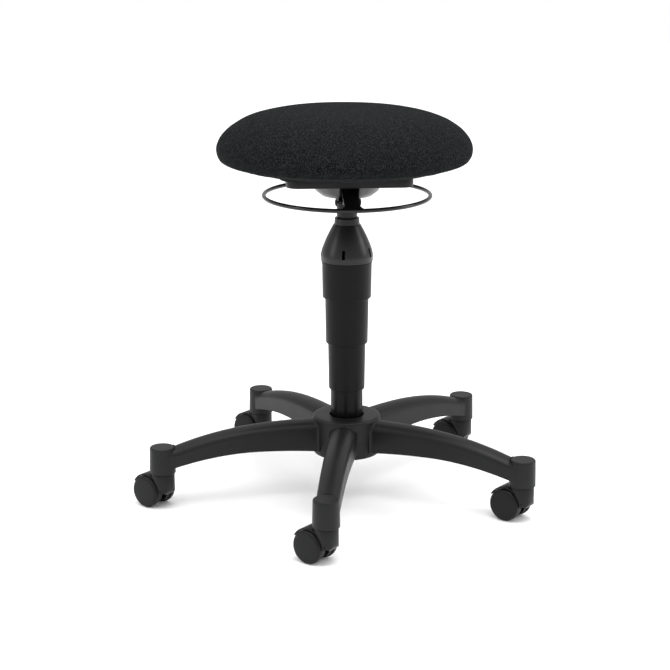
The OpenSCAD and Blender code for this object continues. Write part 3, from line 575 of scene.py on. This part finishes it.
# castors: one wheel and one hood, brought to the five stems
castor = {
    "radius": 25.0, "width": 18.0, "inner": 5.5, "trail": 20.0, "turn": 148.0,
    "drum": 23.4, "drumWidth": 8.0, "drumWall": 3.5, "shoulder": 5.2, "dome": 1.2, "face": 3.5,
    "boss": 7.0, "axle": 3.05,
}
wheelR, wheelW, wheelIn = castor["radius"], castor["width"], castor["inner"]
drumIn = castor["drum"] - castor["drumWall"]
wheelShape = [
    (castor["axle"], 0), (castor["boss"], 0, 0.4), (castor["boss"], wheelW - castor["face"] - 1, 0.6),
    (drumIn, wheelW - castor["face"] - 1, 1.0), (drumIn, 0, 0.4),
    (castor["drum"], 0, 0.5), (castor["drum"], castor["drumWidth"], 0.3),
    (wheelR, castor["drumWidth"], 1.0), (wheelR, wheelW - castor["dome"] - 0.2, castor["shoulder"]),
    (wheelR / 2 + 3, wheelW - castor["dome"] / 2.5, 6.0), (0, wheelW), (0, wheelW - castor["face"]),
    (castor["axle"], wheelW - castor["face"]),
]


def castorFrame(index):
    angle = math.radians(armTurns[index])
    stem = Matrix.Translation((star["Reach"] * mm * math.cos(angle), star["Reach"] * mm * math.sin(angle), 0))
    return stem @ Matrix.Rotation(math.radians(castor["turn"]), 4, "Z") @ Matrix.Translation(
        (castor["trail"] * mm, 0, wheelR * mm))


for index in range(len(armTurns)):
    number = index + 1
    for side, sign in (("left", -1), ("right", 1)):
        mesh = latheMesh(f"wheel{side}{number}", wheelShape, turns=72, steps=6)
        out = Matrix.Rotation(math.radians(90 * sign), 4, "X") @ Matrix.Translation((0, 0, wheelIn * mm))
        mesh.transform(castorFrame(index) @ out)
        wheel = asObject(f"wheel_{side}_{number}_face", mesh, finishes["wheel"])
        place(wheel, f"wheel_{side}_{number}", "wheel_nylon", f"wheel_{side}_{number}")
    hood = softened(f"castor_body_{number}", f"castorHood{number}", finishes["castor"], 0.7, angle=35)
    place(hood, f"castor_{number}", "castor_nylon", f"castor_body_{number}")
print("castors made")

# telescoping covers and the cone
covers = {
    "wall": 1.6, "lip": 2.0, "flange": 3.0, "draft": 1 / 66, "edge": 2.0,
    "lower": (28.0, 175.5, 255.3, 30.7, 25.6), "middle": (32.6, 250.0, 327.8, 35.7, 29.51),
    "upper": (37.6, 322.5, 381.0, 39.29, 34.08),
}
cone = {
    "widest": 40.4, "from": 389.0, "to": 437.0, "end": 20.9, "power": 1.4, "bottom": 381.0, "step": 4.0,
    "bore": 35.4, "skirt": 40.1, "wall": 2.2, "rows": 18,
    "collar": 19.5, "neck": 18.75, "neckTop": 447.7, "neckBore": 14.3, "ceiling": 435.0,
    "slots": 5, "slotWidth": 4.5, "slotHeight": 14.0, "slotDepth": 14.0, "slotTurn": -92.0, "slotEdge": 1.2,
}
tube = {"radius": 25.0, "inside": 23.4, "hole": 5.5, "bottom": 77.0, "floor": 80.0, "top": 285.0}


def coverOutline(low, bottom, top, flange, lip):
    high = low + (top - bottom) * covers["draft"]
    return [
        (lip, bottom + covers["lip"], 0.2), (lip, bottom, 0.4), (low, bottom, covers["edge"]),
        (high, top - covers["flange"], 0.5), (flange, top - covers["flange"], 0.3), (flange, top, 0.6),
        (high - covers["wall"], top, 0.5), (low - covers["wall"], bottom + covers["lip"], 0.3),
    ]


def coneRadius(z):
    share = (z - cone["from"]) / (cone["to"] - cone["from"])
    return cone["widest"] - (cone["widest"] - cone["end"]) * max(0, share) ** cone["power"]


for name, body in (("lower", "lower_cover"), ("middle", "middle_cover"), ("upper", "seat")):
    coverMesh = latheMesh(name + "Cover", coverOutline(*covers[name]))
    cover = asObject(name + "Cover", coverMesh, finishes["cover"])
    place(cover, body, "cover_plastic", "shroud_" + name)
heights = [cone["from"] + (cone["to"] - cone["from"]) * i / cone["rows"] for i in range(cone["rows"] + 1)]
coneStep = cone["bottom"] + cone["step"]
coneShape = [(cone["bore"], cone["bottom"], 0.3), (cone["skirt"], cone["bottom"], 0.5),
             (cone["skirt"], coneStep, 0.3)]
coneShape += [(coneRadius(z), z) for z in heights]
coneShape += [(cone["collar"], 437.7, 0.3), (cone["neck"], cone["neckTop"], 1.0),
              (cone["neckBore"], cone["neckTop"], 0.5), (cone["neckBore"], cone["ceiling"])]
coneShape += [(coneRadius(z) - cone["wall"], z) for z in reversed(heights[:-2])] + [(cone["bore"], coneStep)]
coneMesh = latheMesh("coneCover", coneShape, turns=120)
coneCover = asObject("coneCover", coneMesh, finishes["cone"])
cutter = bmesh.new()
for i in range(cone["slots"]):
    turned = Matrix.Rotation(math.radians(cone["slotTurn"] + 360 / cone["slots"] * i), 4, "Z")
    middle = Matrix.Translation((cone["bore"] * mm, 0, (cone["from"] + cone["slotHeight"] / 2) * mm))
    size = Matrix.Diagonal((cone["slotDepth"] * mm, cone["slotWidth"] * mm, cone["slotHeight"] * mm, 1))
    bmesh.ops.create_cube(cutter, size=1, matrix=turned @ middle @ size)


def runsInwards(edge):  # a long level edge of a slot, from its outside to its inside
    way = edge.verts[0].co - edge.verts[1].co
    return abs(way.normalized().z) < 0.1 and way.length > 10 * mm


bmesh.ops.bevel(cutter, geom=[e for e in cutter.edges if runsInwards(e)],
                offset=cone["slotEdge"] * mm, segments=3, affect="EDGES", profile=0.5)
cutterMesh = bpy.data.meshes.new("slotCutter")
cutter.to_mesh(cutterMesh)
cutter.free()
slots = asObject("slotCutter", cutterMesh)
cutting = coneCover.modifiers.new("slots", "BOOLEAN")
cutting.object = slots
cutting.operation = "DIFFERENCE"
cutting.solver = "EXACT"
plain(coneCover)
bpy.data.objects.remove(slots)
place(coneCover, "seat", "cover_plastic", "cone_cover", angle=28)
tubeMesh = latheMesh("standingTube", [
    (tube["hole"], tube["bottom"], 0.3), (tube["radius"], tube["bottom"], 0.8),
    (tube["radius"], tube["top"], 0.8), (tube["inside"], tube["top"], 0.5),
    (tube["inside"], tube["floor"]), (tube["hole"], tube["floor"], 0.3),
], turns=96)
place(asObject("standingTube", tubeMesh, finishes["tube"]), "base", "gloss_tube", "outer_tube")
print("column made")

# under the seat: socket, bowl, plate, lever, ring
lever = {"ringRadius": 127.0, "rod": 3.2, "ringHeight": 482.4, "pivot": (0.0, -21.0, 475.0)}
ringShape = [(lever["ringRadius"] + lever["rod"] * math.cos(2 * math.pi * i / 24),
              lever["ringHeight"] + lever["rod"] * math.sin(2 * math.pi * i / 24)) for i in range(24)]
ringHandle = asObject("ringHandle", latheMesh("ringHandle", ringShape, turns=160), finishes["ring"])
place(ringHandle, "lever", "ring_paint", "ring_handle", angle=60)
yoke = softened("lever_yoke", "leverPressing", finishes["bracket"], 0.6)
place(yoke, "lever", "bracket_paint", "lever_yoke")
socket = softened("taper_socket", "taperSocket", finishes["bracket"], 0.5)
place(socket, "seat", "bracket_paint", "taper_socket")
bowl = softened("bowl", "seatBowl", finishes["bowl"], 0.4, angle=40)
place(bowl, "seat", "bowl_paint", "bowl", angle=45)
plate = softened("mount_plate", "mountPlate", finishes["bracket"], 0.8)
place(plate, "seat", "bracket_paint", "mount_plate")

screw = {
    "spreadX": 120.0, "spreadY": 90.0, "turn": 10.0, "seat": 506.0,
    "head": 5.5, "headHeight": 3.0, "headTop": 3.6, "socket": 2.2, "shank": 3.0, "length": 32.0,
}
screwMesh = latheMesh("plateScrew", [
    (0, -1.2), (screw["socket"], -1.2, 0.2), (screw["socket"], -screw["headHeight"], 0.3),
    (screw["headTop"], -screw["headHeight"], 0.6), (screw["head"], -1.6, 0.8), (screw["head"], 0, 0.3),
    (screw["shank"], 0, 0.2), (screw["shank"], screw["length"], 0.6), (0, screw["length"] + 1.4),
], turns=24, steps=3)


def screwTree(graph, size):
    piece = graph.node("GeometryNodeObjectInfo", {}, {"Object": size["Screw"]}, output="Geometry")
    large = graph.node("GeometryNodeTransform", {}, {"Geometry": piece, "Scale": (1000, 1000, 1000)})
    spots = graph.node("GeometryNodeMeshGrid", {}, {
        "Size X": size["Spread X"], "Size Y": size["Spread Y"], "Vertices X": 2, "Vertices Y": 2})
    set4 = graph.node("GeometryNodeInstanceOnPoints", {}, {"Points": spots, "Instance": large})
    turned = (0, 0, math.radians(screw["turn"]))
    return graph.node("GeometryNodeTransform", {}, {
        "Geometry": set4, "Translation": (0, 0, screw["seat"]), "Rotation": turned})


source = asObject("screwSource", screwMesh)
screws = grow("plateScrewSet", screwTree, {"Spread X": screw["spreadX"], "Spread Y": screw["spreadY"]},
              finishes["steel"], {"Screw": source})
bpy.data.objects.remove(source)
place(screws, "seat", "bright_steel", "plate_screws")

spring = {"Turns": 10.0, "Radius": 3.4, "Wire": 0.8, "Width": 16.0}
springLeg = 16.97  # how far the end leg runs back, and as far up


def springTree(graph, size):
    coil = graph.node("GeometryNodeCurveSpiral", {}, {
        "Resolution": 20, "Rotations": size["Turns"], "Start Radius": size["Radius"],
        "End Radius": size["Radius"], "Height": size["Width"]})
    wire = graph.node("GeometryNodeCurvePrimitiveCircle", {}, {"Resolution": 10, "Radius": size["Wire"]})
    body = graph.node("GeometryNodeCurveToMesh", {}, {
        "Curve": coil, "Profile Curve": wire, "Fill Caps": True})
    end, back, low = spring["Width"] / 2, lever["pivot"][1], lever["pivot"][2]
    high = low + spring["Radius"]
    laid = graph.node("GeometryNodeTransform", {}, {
        "Geometry": body, "Translation": (-end, back, low), "Rotation": (0, math.radians(90), 0)})
    leg = graph.node("GeometryNodeCurvePrimitiveLine", {}, {
        "Start": (end, back, high), "End": (end, back - springLeg, high + springLeg)})
    rod = graph.node("GeometryNodeCurveToMesh", {}, {"Curve": leg, "Profile Curve": wire, "Fill Caps": True})
    both = graph.node("GeometryNodeJoinGeometry", {}, {"Geometry": laid})
    graph.tree.links.new(rod.socket, both.socket.node.inputs[0])
    turned = (0, 0, math.radians(screw["turn"]))
    return graph.node("GeometryNodeTransform", {}, {"Geometry": both, "Rotation": turned})


coilSpring = grow("returnSpring", springTree, spring, finishes["spring"])
place(coilSpring, "seat", "bright_steel", "return_spring")
print("underside made")

# seat cushion: foam under a stretched cover
cushion = {
    "centre": (-4.1, -0.5), "radius": 195.0, "widest": 553.0, "crown": 614.0, "hem": 531.0, "rimRound": 17.0,
    "sidePower": 3.4, "topPower": 1.84, "puff": 6.0, "kept": 0.35, "draw": 1.1,
    "steps": 20, "voxel": 5.0, "holdOver": 12.0, "still": 531.5,
    "rimLow": 535.2, "rimHigh": 536.5, "rimHeading": 6.0,
    "sag": 13.0, "sagRadius": 125.0, "sagWidth": 9.5, "sagHeading": -128.0, "sagSpread": 13.0,
}
underside = [  # radius and height, from the middle outwards
    (0, 531.2), (44, 531.2), (86, 531.2), (88.6, 530.4), (88.7, 524), (89.2, 520.4), (91, 519.7),
    (95, 519.7), (99, 520.2), (104, 523.0), (109, 526.8), (115, 529.6), (120, 530.2), (126, 530.4),
    (131, 530.4), (137, 530.4), (143, 530.4), (150, 530.4), (160, 530.4), (166.6, 530.6),
]
pleat = {"from": 112.0, "over": 74.0, "below": 540.0, "deep": 0.7, "folds": 9, "creases": 26, "crease": 0.7}
wave = {"above": 545.0, "often": 11, "deep": 0.7}
clothMap = {"stretch": 0.16, "shoulder": 585.0, "steep": 0.8, "depth": 60.0}


def cushionProfile(angle):
    side = math.cos(angle - math.radians(cushion["rimHeading"])) ** 2
    rim = cushion["rimHigh"] + (cushion["rimLow"] - cushion["rimHigh"]) * side
    radius, wide, crown = cushion["radius"], cushion["widest"], cushion["crown"]
    radius += cushion["draw"]
    crown -= cushion["puff"] * cushion["kept"]
    hem, bend = cushion["hem"], cushion["rimRound"]
    outline = underside + [(169.6, hem + (rim - hem) * 0.45)]
    for i in range(7):
        a = math.radians(90 * i / 6)
        outline.append((radius - bend + bend * math.sin(a), wide - (wide - rim) * math.cos(a)))
    for i in range(1, 25):
        a = math.radians(90 * i / 24)
        r = radius * max(0, math.cos(a)) ** (2 / cushion["sidePower"]) if i < 24 else 0
        outline.append((r, wide + (crown - wide) * math.sin(a) ** (2 / cushion["topPower"])))
    return [(r, z - sag(r, angle) if z < hem else z) for r, z in outline]


def sag(r, angle):  # the loose lining hangs down a little behind the plate's corner
    across = (r - cushion["sagRadius"]) / cushion["sagWidth"]
    turned = angle - math.radians(cushion["sagHeading"])
    along = math.degrees(math.atan2(math.sin(turned), math.cos(turned))) / cushion["sagSpread"]
    return cushion["sag"] * math.exp(-across * across - along * along)


def cushionMesh():
    bm = bmesh.new()
    turns = 128
    rows = []
    for i in range(turns):
        a = 2 * math.pi * i / turns
        rows.append([bm.verts.new((
            (cushion["centre"][0] * min(1, r / 90) + r * math.cos(a)) * mm,
            (cushion["centre"][1] * min(1, r / 90) + r * math.sin(a)) * mm, z * mm))
            for r, z in cushionProfile(a)])
    for i in range(turns):
        low, high = rows[i], rows[(i + 1) % turns]
        for j in range(len(low) - 1):
            bm.faces.new((low[j], high[j], high[j + 1], low[j + 1]))
    return tidyMesh(bm, "seatCushion")


def puffed(piece):  # cloth under a little pressure, held where it is stapled to the board
    remesh = piece.modifiers.new("voxels", "REMESH")
    remesh.mode = "VOXEL"
    remesh.voxel_size = cushion["voxel"] * mm
    plain(piece)
    start = [v.co.copy() for v in piece.data.vertices]
    held = piece.vertex_groups.new(name="held")
    for v in piece.data.vertices:
        low = 1 - max(0.0, min(1.0, (v.co.z - cushion["hem"] * mm) / (cushion["holdOver"] * mm)))
        held.add([v.index], low, "REPLACE")
    cloth = piece.modifiers.new("cloth", "CLOTH")
    settings = cloth.settings
    settings.quality = 6
    settings.mass = 0.3
    settings.tension_stiffness = 18
    settings.compression_stiffness = 14
    settings.shear_stiffness = 8
    settings.bending_stiffness = 0.6
    settings.use_pressure = True
    settings.uniform_pressure_force = 4
    settings.vertex_group_mass = "held"
    settings.effector_weights.gravity = 0
    cloth.collision_settings.use_self_collision = False
    scene = bpy.context.scene
    for step in range(1, cushion["steps"] + 1):
        scene.frame_set(step)
    plain(piece)
    cap = cushion["puff"] * mm
    for v, before in zip(piece.data.vertices, start):
        move = v.co - before
        if before.z < cushion["still"] * mm:
            move *= 0
        if move.length > cap:
            move *= cap / move.length
        v.co = before + move * cushion["kept"]  # only part of the move, so that the drawn outline holds
    scene.frame_set(1)
    return piece


def laidOut(reach, height):  # distance from the crown's middle to a place on its upper side, in mm
    across = reach * (1 + clothMap["stretch"] * (reach / cushion["radius"]) ** 4)
    return across + max(0, clothMap["shoulder"] - height) * clothMap["steep"]


def finishCushion(piece):
    finer = piece.modifiers.new("finer", "SUBSURF")
    finer.levels = finer.render_levels = 1
    plain(piece)
    mesh = piece.data
    centre = Vector(cushion["centre"]) * mm
    for v in mesh.vertices:  # small pleats where the cover is drawn under the board
        flat = Vector((v.co.x, v.co.y)) - centre
        r = flat.length / mm
        angle = math.atan2(flat.y, flat.x)
        if v.co.z < pleat["below"] * mm and r > pleat["from"]:
            across, along = math.cos(angle), math.sin(angle)
            ring = math.sin(math.pi * min(1, max(0, (r - pleat["from"]) / pleat["over"])))
            fold = noise.noise(Vector((across * pleat["folds"], along * pleat["folds"], 3.1)))
            fine = noise.noise(Vector((across * pleat["creases"], along * pleat["creases"], 7.7)))
            v.co.z += (fold + fine * pleat["crease"]) * ring * pleat["deep"] * mm
        if v.co.z > wave["above"] * mm:  # the cover is never perfectly even
            swell = noise.noise(Vector((v.co.x * wave["often"], v.co.y * wave["often"], 0.4)))
            v.co.z += swell * wave["deep"] * mm
    uv = mesh.uv_layers.new(name="cloth")
    middle = Vector((centre.x, centre.y, (cushion["widest"] - clothMap["depth"]) * mm))
    for loop in mesh.loops:  # laid out by the distance over the crown
        p = mesh.vertices[loop.vertex_index].co - middle
        flat = Vector((p.x, p.y))
        reach = flat.length / mm
        height = cushion["widest"] - clothMap["depth"] + p.z / mm
        if height > cushion["widest"]:
            length = laidOut(reach, height)
        else:
            edge = laidOut(cushion["radius"], cushion["widest"])
            length = edge + cushion["widest"] - height + cushion["radius"] - reach
        uv.data[loop.index].uv = flat.normalized() * length * mm if reach > 1e-3 else (0, 0)
    return piece


seat = asObject("seatCushion", cushionMesh(), finishes["cloth"])
puffed(seat)
finishCushion(seat)
seat.data.materials.clear()
seat.data.materials.append(finishes["cloth"])
place(seat, "seat", "seat_fabric", "seat_cushion", angle=60)

staple = {
    "count": 56, "radius": 148.0, "turn": 3.0, "height": 530.2,
    "across": 1.1, "long": 10.0, "thick": 1.0, "edge": 0.3,
}
bm = bmesh.new()
up = Matrix.Translation((0, 0, staple["height"] * mm))
size = Matrix.Diagonal((staple["across"] * mm, staple["long"] * mm, staple["thick"] * mm, 1))
bmesh.ops.create_cube(bm, size=1, matrix=up @ size)
bmesh.ops.bevel(bm, geom=bm.edges[:], offset=staple["edge"] * mm, segments=1, affect="EDGES")
staples = repeated("seatStaples", tidyMesh(bm, "staple"), staple["count"], staple["radius"], staple["turn"],
                   finishes["spring"])
staples.data.transform(Matrix.Translation((cushion["centre"][0] * mm, cushion["centre"][1] * mm, 0)))
place(staples, "seat", "bright_steel")
print("seat made")

# finishes of the pieces that keep their shape
kept = {
    "steel": ["hub_sleeve", "stem_sleeves", "grip_rings", "bearing_race", "bottom_washer", "upper_race",
              "retaining_clip", "piston", "valve_pin", "tee_nuts"],
    "bracket": ["pivot_pin", "pin_clips"],
    "guide": ["guide_bush"],
    "brass": ["ball_cage"],
    "chrome": ["piston_rod"],
    "rubber": ["rubber_buffer", "rod_seal"],
    "cylinder": ["gas_cylinder"],
    "board": ["seat_pan"],
}
for number in range(1, 6):
    kept["steel"] += [f"castor_stem_{number}", f"axle_{number}"]
for finish, names in kept.items():
    for name in names:
        nodes[name].data.materials.clear()
        nodes[name].data.materials.append(finishes[finish])

# floor, light and camera
studio = {
    "floor": 14.0, "white": 0.93, "sky": 1.0, "fill": 1.0, "gleam": 0.7, "sun": 1.3, "sunSpread": 85.0,
    "key": 26.0, "side": 15.0, "leftShare": 0.7,
}
floorMesh = bpy.data.meshes.new("studioFloor")
half = studio["floor"] / 2
corners = [(-half, -half, 0), (half, -half, 0), (half, half, 0), (-half, half, 0)]
floorMesh.from_pydata(corners, [], [(0, 1, 2, 3)])
floorLook, graph, spot = startLook("paleFloor")
cloud = cloudy(graph, spot, 400)
finishLook(graph, {"Base Color": mixColour(graph, cloud, grey(studio["white"]), grey(studio["white"] * 1.01)),
                   "Roughness": 0.7, "Specular IOR Level": 0.2})
asObject("studioFloor", floorMesh, floorLook)

world = bpy.data.worlds.new("studioWorld")
bpy.context.scene.world = world
world.use_nodes = True
world.node_tree.nodes.clear()
sky = Graph(world.node_tree)
seen = sky.node("ShaderNodeLightPath", output="Is Camera Ray")
glossy = seen.also("Is Glossy Ray")
strength = studio["fill"] + seen * (studio["sky"] - studio["fill"])
strength += glossy * (studio["gleam"] - studio["fill"])
back = sky.node("ShaderNodeBackground", {}, {"Color": grey(1.0), "Strength": strength})
sky.node("ShaderNodeOutputWorld", {}, {"Surface": back})


def softbox(name, spot, target, width, depth, power):
    light = bpy.data.lights.new(name, "AREA")
    light.shape = "RECTANGLE"
    light.size = width
    light.size_y = depth
    light.energy = power
    lamp = bpy.data.objects.new(name, light)
    bpy.context.scene.collection.objects.link(lamp)
    lamp.location = spot
    lamp.rotation_euler = (Vector(target) - Vector(spot)).to_track_quat("-Z", "Y").to_euler()


softbox("topBox", (0.3, -0.5, 2.5), (0, 0, 0.4), 1.3, 1.3, studio["key"])
softbox("sideBox", (2.4, 0.25, 1.4), (0, 0, 0.4), 0.8, 1.5, studio["side"])
softbox("sideBoxLeft", (-2.2, -1.0, 1.35), (0, 0, 0.4), 0.7, 1.5, studio["side"] * studio["leftShare"])
sun = bpy.data.lights.new("ceiling", "SUN")
sun.energy = studio["sun"]
sun.angle = math.radians(studio["sunSpread"])
bpy.context.scene.collection.objects.link(bpy.data.objects.new("ceiling", sun))

view = {"spot": (0.2663, -2.6604, 0.9877), "heading": 96.11, "pitch": -15.209, "lens": 95.53}
lens = bpy.data.cameras.new("frontView")
lens.lens = view["lens"]
lens.sensor_width = 36
camera = bpy.data.objects.new("frontView", lens)
camera.location = view["spot"]
camera.rotation_euler = (math.radians(90 + view["pitch"]), 0, math.radians(view["heading"] - 90))
bpy.context.scene.collection.objects.link(camera)
bpy.context.scene.camera = camera
bpy.context.scene.view_settings.view_transform = "Standard"

print("stool ready")
